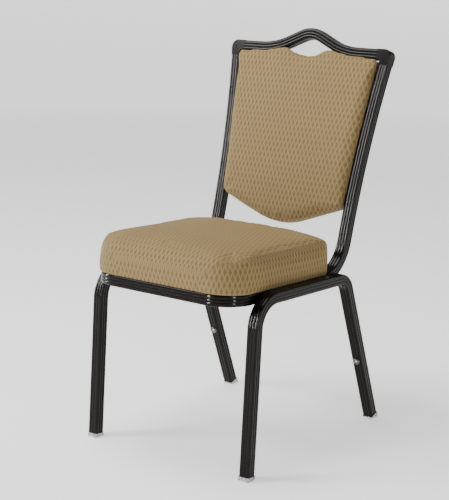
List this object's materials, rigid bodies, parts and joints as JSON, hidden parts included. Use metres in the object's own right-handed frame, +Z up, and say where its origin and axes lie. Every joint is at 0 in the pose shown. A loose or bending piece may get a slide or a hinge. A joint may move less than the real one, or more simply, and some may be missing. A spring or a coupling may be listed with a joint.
{
  "type": "stacking chair",
  "caption": "Armless stacking chair with a bent fluted tube frame, thick upholstered seat, and an upholstered back pad below a humped top rail with a hand hole.",
  "frame": {"origin": "middle of the bounding box's bottom face, on the floor", "axes": "+Z up; the seat faces -Y, so the back rest is on the +Y side; +X is on the right of a viewer who faces the chair"},
  "size_m": [0.4498, 0.589, 0.9034],
  "materials": {
    "frame_finish": "satin gloss very dark brown powder coat",
    "strap_steel": "satin black paint",
    "fabric_pattern": "tan woven upholstery with small darker diamonds",
    "foam": "open cell foam",
    "plywood": "plain plywood",
    "dust_cloth": "black nonwoven cloth",
    "edging": "pale grey edging",
    "screw_steel": "zinc plated",
    "glide_plastic": "frosted clear",
    "bumper_plastic": "clear grey"
  },
  "bodies": {
    "root": {"back_board": "plywood", "back_cover": "fabric_pattern", "back_edge_trim": "edging", "back_foam": "foam", "back_outer_panel": "fabric_pattern", "back_screws": "screw_steel", "back_strap_high": "strap_steel", "back_strap_low": "strap_steel", "back_upright_left": "frame_finish", "back_upright_right": "frame_finish", "bumper_rivets": "screw_steel", "corner_knuckle_left": "frame_finish", "corner_knuckle_right": "frame_finish", "crown_rail": "frame_finish", "glide_front_left": "glide_plastic", "glide_front_right": "glide_plastic", "glide_rear_left": "glide_plastic", "glide_rear_right": "glide_plastic", "leg_loop_left": "frame_finish", "leg_loop_right": "frame_finish", "seat_board": "plywood", "seat_brace_front": "frame_finish", "seat_brace_rear": "frame_finish", "seat_cover": "fabric_pattern", "seat_dust_cover": "dust_cloth", "seat_foam": "foam", "seat_rail": "frame_finish", "seat_screws": "screw_steel", "seat_tee_nuts": "screw_steel", "stack_bumper_left": "bumper_plastic", "stack_bumper_right": "bumper_plastic", "weld_pads_left": "frame_finish", "weld_pads_right": "frame_finish"}
  },
  "joints": []
}
